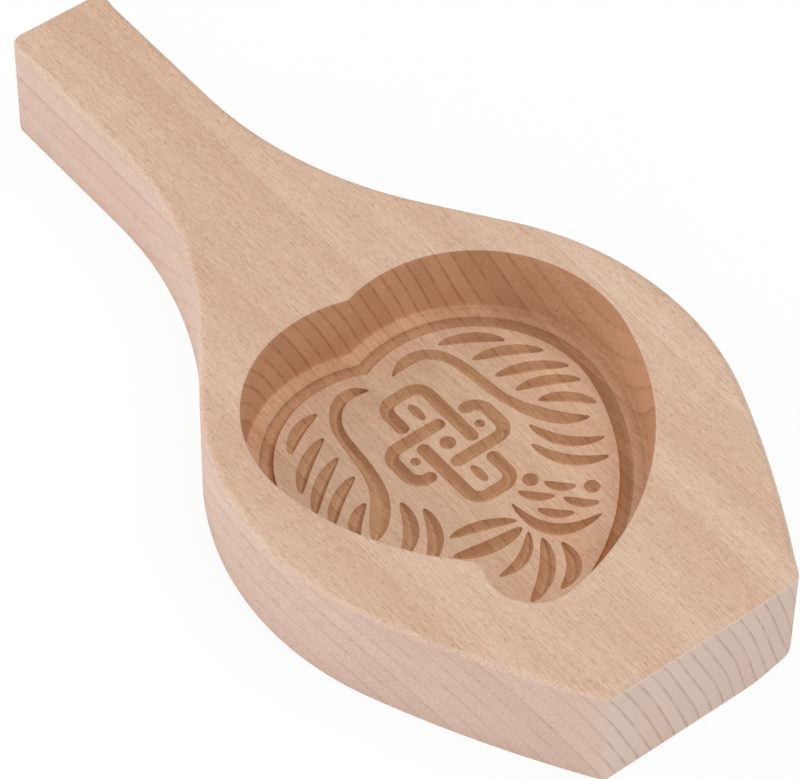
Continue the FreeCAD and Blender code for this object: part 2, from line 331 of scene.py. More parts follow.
@dataclass(frozen=True)
class Board:
    """Outside of the mold: a handled board with softened edges.

    The outline is a chain of tangent runs and arcs. Each ring of the outside is that outline
    drawn in along its normals, so the sides are a profile carried round the outline.
    """

    length: float
    thickness: float
    head_half_width: float
    handle_half_width: float = 13.6
    neck_radius: float = 100.2
    neck_straight: float = 21.4
    shoulder_setback: float = 77.7
    shoulder_radius: float = 73.7
    flank_radius: float = 308.0
    end_half_width: float = 26.7
    handle_corner: float = 3.5
    near_corner: float = 1.3
    far_corner: float = 4.4
    long_edge: float = 1.8
    end_edge: float = 0.7
    under_edge: float = 0.8
    blunt_corner: float = 3.4
    blunt_reach: float = 7.0
    border: float = 0.3
    step: float = 1.6
    round_steps: int = 7

    def side(self, flip: int, corner: float) -> list[Run | Arc]:
        """Lay out one long side from the middle of the handle end to that of the head end.

        Args:
            flip: 1 for the +Y side, -1 for the -Y side.
            corner: Radius of the corner at the head end.

        Returns:
            The stretches in that order, anticlockwise on the -Y side.
        """
        half = self.length / 2
        place = np.array([1.0, flip])
        shoulder = np.array([half - self.shoulder_setback,
                             self.head_half_width - self.shoulder_radius])
        span = math.hypot(self.neck_radius + self.shoulder_radius, self.neck_straight)
        drop = self.handle_half_width + self.neck_radius - shoulder[1]
        reach = math.sqrt(span**2 - drop**2)
        neck = np.array([shoulder[0] - reach, self.handle_half_width + self.neck_radius])
        lean = -math.atan2(drop, reach) - math.atan2(
            self.neck_straight, self.neck_radius + self.shoulder_radius)
        normal = np.array([math.cos(lean), math.sin(lean)])
        neck_end = neck + normal * self.neck_radius
        shoulder_start = shoulder - normal * self.shoulder_radius
        flank = circles_meet(shoulder, self.flank_radius - self.shoulder_radius,
                             (half, self.end_half_width), self.flank_radius, -1)
        shoulder_end = flank + unit(shoulder - flank) * self.flank_radius
        turn = half - corner - flank[0]
        rise = math.sqrt((self.flank_radius - corner)**2 - turn**2)
        head = np.array([half - corner, flank[1] + rise])
        flank_end = flank + unit(head - flank) * self.flank_radius
        head_end = head + np.array([corner, 0.0])
        tail = np.array([self.handle_corner - half, self.handle_half_width - self.handle_corner])
        tail_start = tail - np.array([self.handle_corner, 0.0])
        tail_end = tail + np.array([0.0, self.handle_corner])
        neck_start = np.array([neck[0], self.handle_half_width])
        return [
            Run(np.array([-half, 0.0]), tail_start * place),
            Arc.about(tail * place, tail_start * place, tail_end * place, -flip),
            Run(tail_end * place, neck_start * place),
            Arc.about(neck * place, neck_start * place, neck_end * place, flip),
            Run(neck_end * place, shoulder_start * place),
            Arc.about(shoulder * place, shoulder_start * place, shoulder_end * place, -flip),
            Arc.about(flank * place, shoulder_end * place, flank_end * place, -flip),
            Arc.about(head * place, flank_end * place, head_end * place, -flip),
            Run(head_end * place, np.array([half, 0.0])),
        ]

    def outline(self) -> tuple[np.ndarray, np.ndarray]:
        """Place points anticlockwise round the whole board.

        Returns:
            The points and their outward normals.
        """
        near = self.side(-1, self.near_corner)
        far = self.side(1, self.far_corner)
        near_points, near_normals = sample(near, spread(near, self.step, self.round_steps))
        far_points, far_normals = sample(far, spread(far, self.step, self.round_steps))
        near_points = np.vstack([near_points, [[self.length / 2, 0.0]]])
        near_normals = np.vstack([near_normals, [[1.0, 0.0]]])
        return (np.vstack([near_points, far_points[:0:-1]]),
                np.vstack([near_normals, -far_normals[:0:-1]]))

    def top_rounding(self, points: np.ndarray) -> np.ndarray:
        """Radius of the top edge: large on the long sides and small near both ends.

        Args:
            points: Points of the outline.

        Returns:
            The radius at each of them.
        """
        low = self.length / 2 - 2 * self.handle_corner
        high = self.length / 2 - self.near_corner
        share = smooth_step(low, high, np.abs(points[:, 0]))
        return self.long_edge + (self.end_edge - self.long_edge) * share

    def under_rounding(self, points: np.ndarray) -> np.ndarray:
        """Radius of the lower edge: small, and larger by exp(-(d / reach)^2) near a corner that
        wear has blunted.

        Args:
            points: Points of the outline, at a distance d from that corner.

        Returns:
            The radius at each of them.
        """
        corner = np.array([self.length / 2, self.end_half_width])
        away = np.hypot(*(points - corner).T)
        return self.under_edge + self.blunt_corner * np.exp(-(away / self.blunt_reach)**2)

    def build(self, skin: Skin) -> np.ndarray:
        """Add the underside, the sides and the top edge to the skin.

        Args:
            skin: The skin that takes the patches.

        Returns:
            The loop in plan where the top face starts.
        """
        points, normals = self.outline()
        top = self.top_rounding(points)[:, None]
        under = self.under_rounding(points)[:, None]
        rows = []
        for angle in np.linspace(0, math.pi / 2, self.round_steps):
            ring = points - normals * under * (1 - math.sin(angle))
            rows.append(lift(ring, (under * (1 - math.cos(angle)))[:, 0]))
        for angle in np.linspace(0, math.pi / 2, self.round_steps):
            ring = points - normals * top * (1 - math.cos(angle))
            rows.append(lift(ring, (self.thickness - top * (1 - math.sin(angle)))[:, 0]))
        border = points - normals * (top + self.border)
        rows.append(lift(border, self.thickness))
        rows = np.array(rows)
        skin.add_grid(rows, True, Cut.SANDED)
        skin.add_flat([rows[0][:, :2]], 0.0, Cut.SANDED)
        return border


@dataclass(frozen=True)
class Peach:
    """Peach-shaped pocket: wall, ledge and the channel round the carved plateau.

    Every ring is the same outline drawn in by an inset, which changes only the radii of its
    arcs, so the wall, the ledge and the channel are a profile carried round the peach.
    """

    top: float
    floor: float = 10.4
    far_lobe: Pair = (30.2, 10.3)
    far_radius: float = 35.9
    near_lobe: Pair = (27.9, -12.6)
    near_radius: float = 34.0
    flank_radius: float = 70.9
    near_flank_turn: float = math.radians(81.0)
    tip: Pair = (81.2, -15.9)
    tip_radius: float = 10.8
    notch_radius: float = 3.5
    draft: float = 0.6
    rim: float = 0.35
    foot: float = 0.7
    channel_inset: float = 5.6
    channel_width: float = 3.2
    channel_depth: float = 1.79
    border: float = 0.3
    counts: tuple[int, ...] = (150, 110, 40, 16, 70, 130)
    round_steps: int = 6
    wall_steps: int = 12
    channel_steps: int = 14

    def ring(self, inset: float) -> np.ndarray:
        """Place points clockwise round the peach from the cleft.

        Args:
            inset: How far the outline is drawn in.

        Returns:
            The points in plan.
        """
        far, near, tip = (np.array(place) for place in (self.far_lobe, self.near_lobe, self.tip))
        far_radius = self.far_radius - inset
        near_radius = self.near_radius - inset
        flank_radius = self.flank_radius - inset
        tip_radius = self.tip_radius - inset
        notch_radius = self.notch_radius + inset
        far_flank = circles_meet(far, flank_radius - far_radius, tip, flank_radius - tip_radius, -1)
        back = np.array([-math.cos(self.near_flank_turn), math.sin(self.near_flank_turn)])
        near_flank = near + back * (flank_radius - near_radius)
        notch = circles_meet(tip, tip_radius + notch_radius,
                             near_flank, flank_radius + notch_radius, 1)
        cleft = circles_meet(far, far_radius, near, near_radius, -1)
        far_join = far_flank + unit(far - far_flank) * flank_radius
        tip_start = far_flank + unit(tip - far_flank) * flank_radius
        tip_end = notch + unit(tip - notch) * notch_radius
        notch_end = notch + unit(near_flank - notch) * notch_radius
        near_join = near_flank + unit(near - near_flank) * flank_radius
        parts = [
            Arc.about(far, cleft, far_join, -1),
            Arc.about(far_flank, far_join, tip_start, -1),
            Arc.about(tip, tip_start, tip_end, -1),
            Arc.about(notch, tip_end, notch_end, 1),
            Arc.about(near_flank, notch_end, near_join, -1),
            Arc.about(near, near_join, cleft, -1),
        ]
        return sample(parts, list(self.counts))[0]

    def build(self, skin: Skin) -> tuple[np.ndarray, np.ndarray]:
        """Add the rim, wall, ledge and channel to the skin.

        Args:
            skin: The skin that takes the patches.

        Returns:
            The loop round the rim and the loop round the plateau, in plan.
        """
        slope = self.draft / (self.top - self.floor)
        quarter = np.linspace(0, math.pi / 2, self.round_steps)
        profile = [(-self.rim - self.border, self.top)]
        for angle in quarter:
            inset = self.rim * (math.sin(angle) - 1)
            profile.append((inset, self.top - self.rim * (1 - math.cos(angle))))
        edge = len(profile) - 1
        for height in np.linspace(self.top - self.rim, self.floor + self.foot, self.wall_steps)[1:]:
            profile.append(((self.top - height) * slope, height))
        for angle in quarter[1:]:
            inset = self.draft + self.foot * (1 - math.cos(angle))
            profile.append((inset, self.floor + self.foot * (1 - math.sin(angle))))
        wall = [lift(self.ring(inset), height) for inset, height in profile]
        half = self.channel_width / 2
        ledge = lift(self.ring(self.channel_inset - half), self.floor)
        channel = []
        for angle in np.linspace(0, math.pi, self.channel_steps):
            plan = self.ring(self.channel_inset - half * math.cos(angle))
            channel.append(lift(plan, self.floor - self.channel_depth * math.sin(angle)))
        skin.add_grid(np.array(wall[:edge]), True, Cut.SANDED)
        skin.add_grid(np.array(wall[edge - 1:]), True, Cut.MILLED)
        skin.add_grid(np.array([wall[-1], ledge]), True, Cut.LEDGE)
        skin.add_grid(np.array(channel), True, Cut.CARVED)
        return wall[0][:, :2], channel[-1][:, :2]


@dataclass(frozen=True)
class Gouge:
    """One gouged cut: a section carried along a line.

    With x = cos(t) and t from 0 to pi, a corner is the line's point plus the half width times x
    across it. It lies the depth times r^0.85 below the floor, where r rises evenly from 0 at
    both lips to 1 at |x| = 0.2. So the section has steep, slightly full flanks and a narrow
    level bottom.
    """

    line: np.ndarray
    across: np.ndarray
    half: np.ndarray
    depth: np.ndarray
    fullness: float = 0.85
    bottom: float = 0.2
    steps: int = 17

    def rows(self, floor: float) -> np.ndarray:
        """Place the corners of the cut.

        Args:
            floor: Height of the floor that is cut.

        Returns:
            The corners, one row for each point of the line.
        """
        place = np.cos(np.linspace(0, math.pi, self.steps))
        plan = (self.line[:, None, :]
                + self.across[:, None, :] * (self.half[:, None] * place)[:, :, None])
        rise = np.clip((1 - np.abs(place)) / (1 - self.bottom), 0.0, 1.0)
        drop = self.depth[:, None] * rise**self.fullness
        return np.concatenate([plan, (floor - drop)[:, :, None]], axis=2)

    def lip(self) -> np.ndarray:
        """Find where the cut meets the floor.

        Returns:
            The loop in plan.
        """
        left = self.line + self.across * self.half[:, None]
        right = self.line - self.across * self.half[:, None]
        return np.vstack([left, right[-2:0:-1]])


def sideways(line: np.ndarray) -> np.ndarray:
    """Left-hand normals of a line of points."""
    along = unit(np.gradient(line, axis=0))
    return np.stack([-along[:, 1], along[:, 0]], axis=1)


@dataclass(frozen=True)
class Carving:
    """Carved ornament of the pocket floor.

    Strokes and stems stand as traditional leaves, scales and tail. The middle holds an
    interlaced knot of two long loops. A stroke is its start, end, bow and width, and a stem is
    its plan points, each with the width there.
    """

    floor: float
    depth_share: float = 0.56
    tip_power: float = 0.35
    tip_reach: float = 0.35
    round_power: float = 0.5
    stroke_steps: int = 40
    stem_steps: int = 120
    stem_tip_steps: int = 6
    cap_steps: int = 9
    hook_counts: tuple[int, ...] = (6, 12, 4, 12, 14)
    pit_line: float = 0.01
    far_stem: tuple[Triple, ...] = (
        (7.8, 3.2, 0.5), (6.3, 7.4, 2.8), (6.5, 11.7, 3.2), (9.0, 15.3, 3.0),
        (13.3, 17.3, 2.8), (21.9, 18.4, 2.8), (30.5, 19.9, 2.9), (36.2, 22.4, 3.7),
        (40.5, 25.3, 3.8), (43.3, 28.5, 2.6), (44.7, 31.2, 0.5),
    )
    near_stem: tuple[Triple, ...] = (
        (7.8, -3.8, 0.5), (6.3, -6.8, 2.8), (6.3, -10.4, 3.2), (8.3, -13.6, 3.0),
        (11.9, -16.1, 2.8), (17.2, -17.4, 2.8), (23.0, -18.1, 3.1), (29.1, -19.2, 3.5),
        (33.6, -20.9, 4.2), (38.0, -24.0, 4.7), (41.4, -27.3, 3.8), (44.0, -30.6, 0.6),
    )
    leaves: tuple[Stroke, ...] = (
        ((6.7, 17.8), (14.6, 30.3), 1.4, 3.2), ((15.1, 21.2), (22.6, 35.4), 1.4, 3.3),
        ((22.2, 22.2), (29.7, 36.9), 1.3, 3.2), ((28.3, 23.3), (34.7, 36.4), 1.3, 3.2),
        ((33.9, 25.4), (42.2, 34.9), 1.3, 3.2), ((6.3, -17.9), (11.9, -29.3), -1.4, 3.2),
        ((13.0, -21.1), (22.6, -34.4), -1.4, 3.3), ((19.6, -22.0), (29.4, -35.6), -1.3, 3.2),
        ((26.2, -22.4), (34.7, -34.8), -1.3, 3.2), ((33.9, -25.2), (41.4, -33.0), -1.3, 3.2),
    )
    crescents: tuple[Stroke, ...] = (
        ((38.5, 18.9), (51.3, 29.7), -2.9, 3.2), ((43.3, 15.7), (56.2, 26.9), -2.9, 3.3),
        ((38.7, -18.6), (51.3, -28.6), 2.3, 3.7), ((43.3, -15.6), (56.4, -25.2), 2.2, 3.7),
    )
    scales: tuple[Stroke, ...] = (
        ((53.7, 10.9), (58.4, 15.4), -0.8, 2.6), ((59.9, 11.4), (65.3, 16.5), -0.8, 2.6),
        ((52.3, 4.5), (57.7, 9.7), -0.8, 2.6), ((58.9, 4.7), (64.2, 10.1), -0.8, 2.6),
    )
    collar: tuple[Stroke, ...] = (((68.2, 14.9), (54.1, 1.1), 6.0, 3.6),)
    tail: tuple[Stroke, ...] = (
        ((69.6, 2.7), (79.3, -5.5), 2.7, 3.6), ((66.1, -0.1), (78.2, -13.0), 2.1, 3.8),
        ((62.6, -1.5), (68.4, -13.9), 2.2, 2.9), ((60.6, -1.9), (58.0, -18.7), 1.3, 3.8),
        ((58.2, -1.6), (53.2, -15.8), -1.0, 3.0),
    )
    eyes: tuple[tuple[Pair, float], ...] = (((61.0, 18.4), 3.7), ((51.0, 8.7), 3.7))
    knot_centre: Pair = (31.1, 0.8)
    knot_width: float = 3.3
    loop_half_gap: float = 5.6
    loop_corner: float = 3.4
    loop_reaches: Pair = (17.5, 13.4)
    ridge: float = 0.7
    seed_inset: float = 11.4
    seed_length: float = 5.0
    seed_width: float = 2.4
    bead_inset: float = 9.3
    bead_width: float = 2.4
    heart_width: float = 3.8

    def stroke(self, start: Pair, end: Pair, bow: float, width: float) -> Gouge:
        """Cut a pointed stroke along a parabola.

        Args:
            start: First tip.
            end: Last tip.
            bow: Height of the parabola, left of the way from start to end.
            width: Width halfway.

        Returns:
            The cut. Its bow falls as 1 - u^2 and its half width as (1 - u^2)^0.5 towards both
            tips, with u from -1 to 1, so the tips are a little blunt.
        """
        place = -np.cos(np.linspace(0, math.pi, self.stroke_steps))
        first, last = np.array(start), np.array(end)
        along = unit(last - first)
        first, last = first - along * self.tip_reach, last + along * self.tip_reach
        across = np.array([-along[1], along[0]])
        fall = np.clip(1 - place**2, 0.0, None)
        middle = (first + last) / 2 + (last - first) / 2 * place[:, None]
        return Gouge(
            middle + across * (bow * fall)[:, None],
            np.broadcast_to(across, middle.shape),
            width / 2 * fall**self.round_power,
            self.depth_share * width * fall**self.tip_power,
        )

    def stem(self, points: tuple[Triple, ...]) -> Gouge:
        """Cut a long stem of changing width.

        The line and the width are natural cubic splines over the length of the chords.

        Args:
            points: Plan point and width of the stem, from one tip to the other.

        Returns:
            The cut, closed to a point at both tips.
        """
        knots = np.array(points)
        gaps = np.hypot(*np.diff(knots[:, :2], axis=0).T)
        where = np.concatenate([[0.0], np.cumsum(gaps)])
        share = (1 - np.cos(np.linspace(0, math.pi, self.stem_steps))) / 2
        curve = natural_spline(where, knots, share * where[-1])
        taper = np.clip(1 - (2 * share - 1)**2, 0.0, None)
        ends = np.minimum(1.0, taper / taper[self.stem_tip_steps])
        half = curve[:, 2] / 2 * np.sqrt(ends)
        depth = self.depth_share * float(np.median(knots[:, 2])) * ends**self.tip_power
        return Gouge(curve[:, :2], sideways(curve[:, :2]), half, depth)

    def round_ended(self, line: np.ndarray, width: float) -> Gouge:
        """Cut along a line with a ball-shaped end on both tips.

        Args:
            line: Points of the line, at least two.
            width: Width of the cut.

        Returns:
            The cut. Past the ends of the line the half width falls as a circle does.
        """
        reach = width / 2
        turn = np.linspace(0, math.pi / 2, self.cap_steps)[1:]
        ahead, behind = unit(line[-1] - line[-2]), unit(line[0] - line[1])
        head = line[-1] + ahead * (reach * np.sin(turn))[:, None]
        tail = line[0] + behind * (reach * np.sin(turn[::-1]))[:, None]
        full = np.vstack([tail, line, head])
        level = np.concatenate([np.cos(turn[::-1]), np.ones(len(line)), np.cos(turn)])
        level[[0, -1]] = 0.0
        middle = sideways(line)
        across = np.vstack([np.tile(middle[0], (len(turn), 1)), middle,
                            np.tile(middle[-1], (len(turn), 1))])
        return Gouge(full, across, reach * level, self.depth_share * width * level)

    def pit(self, centre: Pair, width: float) -> Gouge:
        """Cut a round pit, as a round-ended cut along a very short line.

        Args:
            centre: Middle of the pit.
            width: Width of the pit.

        Returns:
            The cut.
        """
        middle = np.array(centre)
        nudge = np.array([self.pit_line * width / 2, 0.0])
        return self.round_ended(np.array([middle - nudge, middle + nudge]), width)

    def hook(self, reach: float, turn: float) -> Gouge:
        """Cut one hook of the knot: half of a loop with rounded corners.

        Args:
            reach: How far the loop reaches from the middle of the knot.
            turn: Turn of the hook about that middle, in degrees.

        Returns:
            The cut.
        """
        gap = self.knot_width + self.ridge
        bend = reach - self.loop_corner
        side = self.loop_half_gap - self.loop_corner
        upper = self.loop_half_gap
        ways = [
            Run(np.array([upper + gap, upper]), np.array([bend, upper])),
            Arc.about(np.array([bend, side]), np.array([bend, upper]),
                      np.array([reach, side]), -1),
            Run(np.array([reach, side]), np.array([reach, -side])),
            Arc.about(np.array([bend, -side]), np.array([reach, -side]),
                      np.array([bend, -upper]), -1),
            Run(np.array([bend, -upper]), np.array([gap - upper, -upper])),
        ]
        line = sample(ways, list(self.hook_counts))[0]
        line = np.vstack([line, [[gap - upper, -upper]]])
        angle = math.radians(turn)
        spin = np.array([[math.cos(angle), math.sin(angle)], [-math.sin(angle), math.cos(angle)]])
        return self.round_ended(line @ spin + np.array(self.knot_centre), self.knot_width)

    def knot(self) -> list[Gouge]:
        """Cut the knot: four hooks, a heart bead, two seeds and two beads.

        Returns:
            The cuts.
        """
        centre = np.array(self.knot_centre)
        cuts = [self.pit(self.knot_centre, self.heart_width)]
        for number, reach in enumerate(self.loop_reaches):
            cuts += [self.hook(reach, 90 * number), self.hook(reach, 90 * number + 180)]
        for side in (1, -1):
            bead = centre + np.array([0.0, side * self.bead_inset])
            inner = centre + np.array([side * (self.seed_inset - self.seed_length / 2), 0.0])
            outer = centre + np.array([side * (self.seed_inset + self.seed_length / 2), 0.0])
            cuts.append(self.pit(tuple(bead), self.bead_width))
            cuts.append(self.stroke(tuple(inner), tuple(outer), 0.0, self.seed_width))
        return cuts

    def build(self, skin: Skin, edge: np.ndarray) -> None:
        """Add the plateau and all its cuts to the skin.

        Args:
            skin: The skin that takes the patches.
            edge: The loop round the plateau, in plan.
        """
        singles = self.leaves + self.crescents + self.scales + self.collar + self.tail
        cuts = [self.stroke(*single) for single in singles]
        cuts += [self.stem(self.far_stem), self.stem(self.near_stem)]
        cuts += [self.pit(*place) for place in self.eyes]
        cuts += self.knot()
        for cut in cuts:
            skin.add_grid(cut.rows(self.floor), False, Cut.CARVED)
        skin.add_flat([edge] + [cut.lip() for cut in cuts], self.floor, Cut.LEVELLED)
        log.info("carving: %d cuts", len(cuts))


def natural_spline(where: np.ndarray, values: np.ndarray, places: np.ndarray) -> np.ndarray:
    """Carry a natural cubic spline through values.

    On each span the value is the line between its ends plus the cubic that its two second
    derivatives give, and those derivatives make neighbouring slopes equal.

    Args:
        where: Rising parameters of the values.
        values: One row for each parameter.
        places: Parameters to read.

    Returns:
        One row for each place.
    """
    span = np.diff(where)
    count = len(where)
    system = np.eye(count)
    right = np.zeros_like(values)
    inner = np.arange(1, count - 1)
    system[inner, inner - 1] = span[:-1]
    system[inner, inner] = 2 * (span[:-1] + span[1:])
    system[inner, inner + 1] = span[1:]
    slope = np.diff(values, axis=0) / span[:, None]
    right[1:-1] = 6 * np.diff(slope, axis=0)
    bend = np.linalg.solve(system, right)
    index = np.clip(np.searchsorted(where, places, side="right") - 1, 0, count - 2)
    size = span[index][:, None]
    ahead = ((places - where[index]) / span[index])[:, None]
    back = 1 - ahead
    line = back * values[index] + ahead * values[index + 1]
    curve = (back**3 - back) * bend[index] + (ahead**3 - ahead) * bend[index + 1]
    return line + curve * size**2 / 6


@dataclass(frozen=True)
class Fade:
    """Smooth step from start at low to stop at high, level beyond both."""

    low: float
    high: float
    start: float = 0.0
    stop: float = 1.0


class Graph:
    """Shader nodes of one material or world, added one at a time."""

    def __init__(self, tree: bpy.types.NodeTree) -> None:
        """Start with an empty tree."""
        self.tree = tree
        tree.nodes.clear()

    def add(self, kind: str, links: dict[str | int, object] | None = None,
            **settings: object) -> bpy.types.Node:
        """Add a node with its settings and its inputs.

        Args:
            kind: Type name of the node.
            links: Input name or number, with the socket or the constant that it gets.
            settings: Properties of the node.

        Returns:
            The node.
        """
        node = self.tree.nodes.new(kind)
        for name, value in settings.items():
            setattr(node, name, value)
        for key, value in (links or {}).items():
            if isinstance(value, bpy.types.NodeSocket):
                self.tree.links.new(value, node.inputs[key])
            else:
                node.inputs[key].default_value = value
        return node

    def math(self, operation: str, *values: object) -> bpy.types.NodeSocket:
        """Add a math node and give its result."""
        node = self.add("ShaderNodeMath", dict(enumerate(values)), operation=operation)
        return node.outputs[0]

    def fade(self, value: object, step: Fade) -> bpy.types.NodeSocket:
        """Map a value along a smooth step."""
        node = self.add("ShaderNodeMapRange",
                        {0: value, 1: step.low, 2: step.high, 3: step.start, 4: step.stop},
                        interpolation_type="SMOOTHSTEP")
        return node.outputs[0]

    def blend(self, share: object, first: object, second: object,
              how: str = "MIX") -> bpy.types.NodeSocket:
        """Mix two colours."""
        node = self.add("ShaderNodeMix", {0: share, 6: first, 7: second},
                        data_type="RGBA", blend_type=how)
        return node.outputs[2]


class Wood(NamedTuple):
    """Sockets that a wood look is made of.

    The place is in millimetres, upward is the normal's height part and level its size, worked is
    the cut's number, and the others go from 0 to 1.
    """

    place: bpy.types.NodeSocket
    upward: bpy.types.NodeSocket
    level: bpy.types.NodeSocket
    end: bpy.types.NodeSocket
    worked: bpy.types.NodeSocket
    bare: bpy.types.NodeSocket
    patch: bpy.types.NodeSocket
    fibre: bpy.types.NodeSocket
    hatch: bpy.types.NodeSocket
    fuzz: bpy.types.NodeSocket
    dash: bpy.types.NodeSocket


@dataclass(frozen=True)
class SandedBeech:
    """Bare beech, milled and sanded, with no oil or lacquer.

    To the eye it is a matt, pinkish tan with fine straight fibres, short brown flecks along the
    grain and thin darker growth rings. The sides are painted pinker and paler, a painted sheen of
    grazing reflection, end grain is paler and greyer with clear rings, and the rounded top edges
    get a painted highlight, broken up by noise. Cut surfaces are a little darker and yellower than
    the sanded faces, partly as the cut wood's own colour and partly as painted shade in the pocket
    and its grooves, and their rings show more.

    Sizes are in millimetres along and across the grain. A share says how far a colour replaces
    what lies under it, and a line is the share of the dark lines that bound the growth rings.
    """

    # Colours, and the tints that multiply them. The tints of the pocket's floor, ledge, walls and
    # cuts are partly painted shade.
    face: str = "#DDB99E"
    pale: str = "#EBD2BC"
    ring: str = "#AE7F5E"
    fleck: str = "#93583A"
    end: str = "#DEC9BC"
    # Painted sheen: the paler, pinker colour that the outside's sides are blended towards stands
    # for grazing reflection.
    side: str = "#E6CEC4"
    # Tints by how a surface was worked: partly the cut wood's own colour and partly painted shade
    # that darkens the pocket's levelled floor, ledge, walls and cuts.
    tints_with_painted_shade: tuple[tuple[Cut, str], ...] = (
        (Cut.SANDED, "#FFFFFF"), (Cut.LEVELLED, "#FBF7EF"), (Cut.LEDGE, "#F8E6D2"),
        (Cut.MILLED, "#FCEAD6"), (Cut.CARVED, "#E9D5BB"),
    )

    # Rings and noises.
    ring_gap: float = 3.2
    ring_wander: float = 3.0
    pith: Pair = (-139.0, -42.0)
    wander_size: Pair = (260.0, 34.0)
    season_size: Pair = (400.0, 4.5)
    patch_size: Pair = (90.0, 11.0)
    fibre_size: Pair = (7.0, 0.36)
    hatch_size: Pair = (2.4, 0.24)
    fleck_size: Pair = (1.9, 0.20)
    fuzz_size: Pair = (0.5, 0.5)
    noise_roughness: float = 0.55
    fine_detail: float = 3.0
    hatch_detail: float = 2.0
    plain_detail: float = 1.0

    # Where each look sets in, by the normal, the cut's number, the ring's age or a noise.
    end_facing: Fade = Fade(0.45, 0.95)
    # The painted sheen sets in on faces that stand upright.
    painted_sheen_facing: Fade = Fade(0.9, 0.4)
    bare_below: Fade = Fade(0.45, 0.0)
    sanded_below: Fade = Fade(0.2, 0.0)
    # Painted highlight on the rounded top edges, set by the normal's height part.
    highlight_above: Fade = Fade(0.12, 0.45)
    highlight_below: Fade = Fade(0.96, 0.75)
    late_rise: Fade = Fade(0.72, 0.96)
    late_drop: Fade = Fade(1.0, 0.97)
    season_share: Fade = Fade(0.35, 0.62, 0.45, 1.0)
    patch_share: Fade = Fade(0.3, 0.7, 0.0, 0.45)
    fibre_share: Fade = Fade(0.40, 0.75, 0.0, 0.40)
    hatch_share: Fade = Fade(0.50, 0.75, 0.0, 0.85)
    speckle_share: Fade = Fade(0.45, 0.75, 0.0, 0.55)
    # Share of the painted edge highlight, from the fuzz noise.
    edge_highlight_share: Fade = Fade(0.35, 0.65, 0.08, 0.42)
    dash_above: Fade = Fade(0.58, 0.72)

    # Plain shares.
    dash_share: float = 0.46
    dash_end_loss: float = 0.8
    # Share of the painted sheen on the sides.
    painted_sheen_share: float = 0.5
    side_line: float = 0.25
    level_line_loss: float = 0.15
    end_line: float = 0.28
    worked_line: float = 0.22
    tone_share: float = 0.14
    worked_tone: float = 0.24

    # Surface.
    roughness: float = 0.68
    ior: float = 1.4
    dash_depth: float = 0.6
    bump_mm: float = 0.05
    bump_strength: float = 0.7

    def noise(self, graph: Graph, place: bpy.types.NodeSocket, size: Pair,
              detail: float) -> bpy.types.NodeSocket:
        """Noise drawn out along the grain.

        Args:
            graph: The material's nodes.
            place: Position in millimetres.
            size: Size of a grain along X and across it, in millimetres.
            detail: Octaves of finer noise.

        Returns:
            The noise, from 0 to 1.
        """
        scale = (1 / size[0], 1 / size[1], 1 / size[1])
        drawn = graph.add("ShaderNodeVectorMath", {0: place, 1: scale}, operation="MULTIPLY")
        node = graph.add("ShaderNodeTexNoise", {
            "Vector": drawn.outputs[0], "Scale": 1.0, "Detail": detail,
            "Roughness": self.noise_roughness})
        return node.outputs[0]

    def rings(self, graph: Graph, place: bpy.types.NodeSocket) -> tuple[
            bpy.types.NodeSocket, bpy.types.NodeSocket]:
        """Growth rings: cylinders about a pith that runs along X far outside the board.

        Args:
            graph: The material's nodes.
            place: Position in millimetres.

        Returns:
            1 in the thin late wood of each ring and 0 elsewhere, and a tone from 0 to 1 that
            differs from ring to ring.
        """
        spot = graph.add("ShaderNodeSeparateXYZ", {0: place})
        aside = graph.math("SUBTRACT", spot.outputs[1], self.pith[0])
        above = graph.math("SUBTRACT", spot.outputs[2], self.pith[1])
        square = graph.math("MULTIPLY_ADD", above, above, graph.math("MULTIPLY", aside, aside))
        reach = graph.math("SQRT", square)
        wander = self.noise(graph, place, self.wander_size, self.plain_detail)
        reach = graph.math("MULTIPLY_ADD", wander, self.ring_wander, reach)
        years = graph.math("DIVIDE", reach, self.ring_gap)
        age = graph.math("FRACT", years)
        tone = graph.add("ShaderNodeTexWhiteNoise", {"W": graph.math("FLOOR", years)},
                         noise_dimensions="1D").outputs["Value"]
        line = graph.math("MULTIPLY", graph.fade(age, self.late_rise),
                          graph.fade(age, self.late_drop))
        season = self.noise(graph, place, self.season_size, self.plain_detail)
        return graph.math("MULTIPLY", line, graph.fade(season, self.season_share)), tone

    def read(self, graph: Graph) -> Wood:
        """Read the place and how the surface lies there, and make the noises.

        Args:
            graph: The material's nodes.

        Returns:
            The sockets, with the flecks as dashes that fade on end grain.
        """
        coordinates = graph.add("ShaderNodeTexCoord").outputs["Object"]
        place = graph.add("ShaderNodeVectorMath", {0: coordinates, "Scale": 1 / MM},
                          operation="SCALE").outputs[0]
        normal = graph.add("ShaderNodeNewGeometry").outputs["Normal"]
        parts = graph.add("ShaderNodeSeparateXYZ", {0: normal}).outputs
        worked = graph.add("ShaderNodeAttribute", attribute_type="GEOMETRY",
                           attribute_name=CUT_LAYER).outputs["Fac"]
        end = graph.fade(graph.math("ABSOLUTE", parts[0]), self.end_facing)
        speck = self.noise(graph, place, self.fleck_size, self.plain_detail)
        dash = graph.math("MULTIPLY", graph.fade(speck, self.dash_above),
                          graph.math("MULTIPLY_ADD", end, -self.dash_end_loss, 1.0))
        return Wood(
            place, parts[2], graph.math("ABSOLUTE", parts[2]), end, worked,
            graph.fade(worked, self.bare_below),
            self.noise(graph, place, self.patch_size, self.plain_detail),
            self.noise(graph, place, self.fibre_size, self.fine_detail),
            self.noise(graph, place, self.hatch_size, self.hatch_detail),
            self.noise(graph, place, self.fuzz_size, self.plain_detail),
            dash,
        )

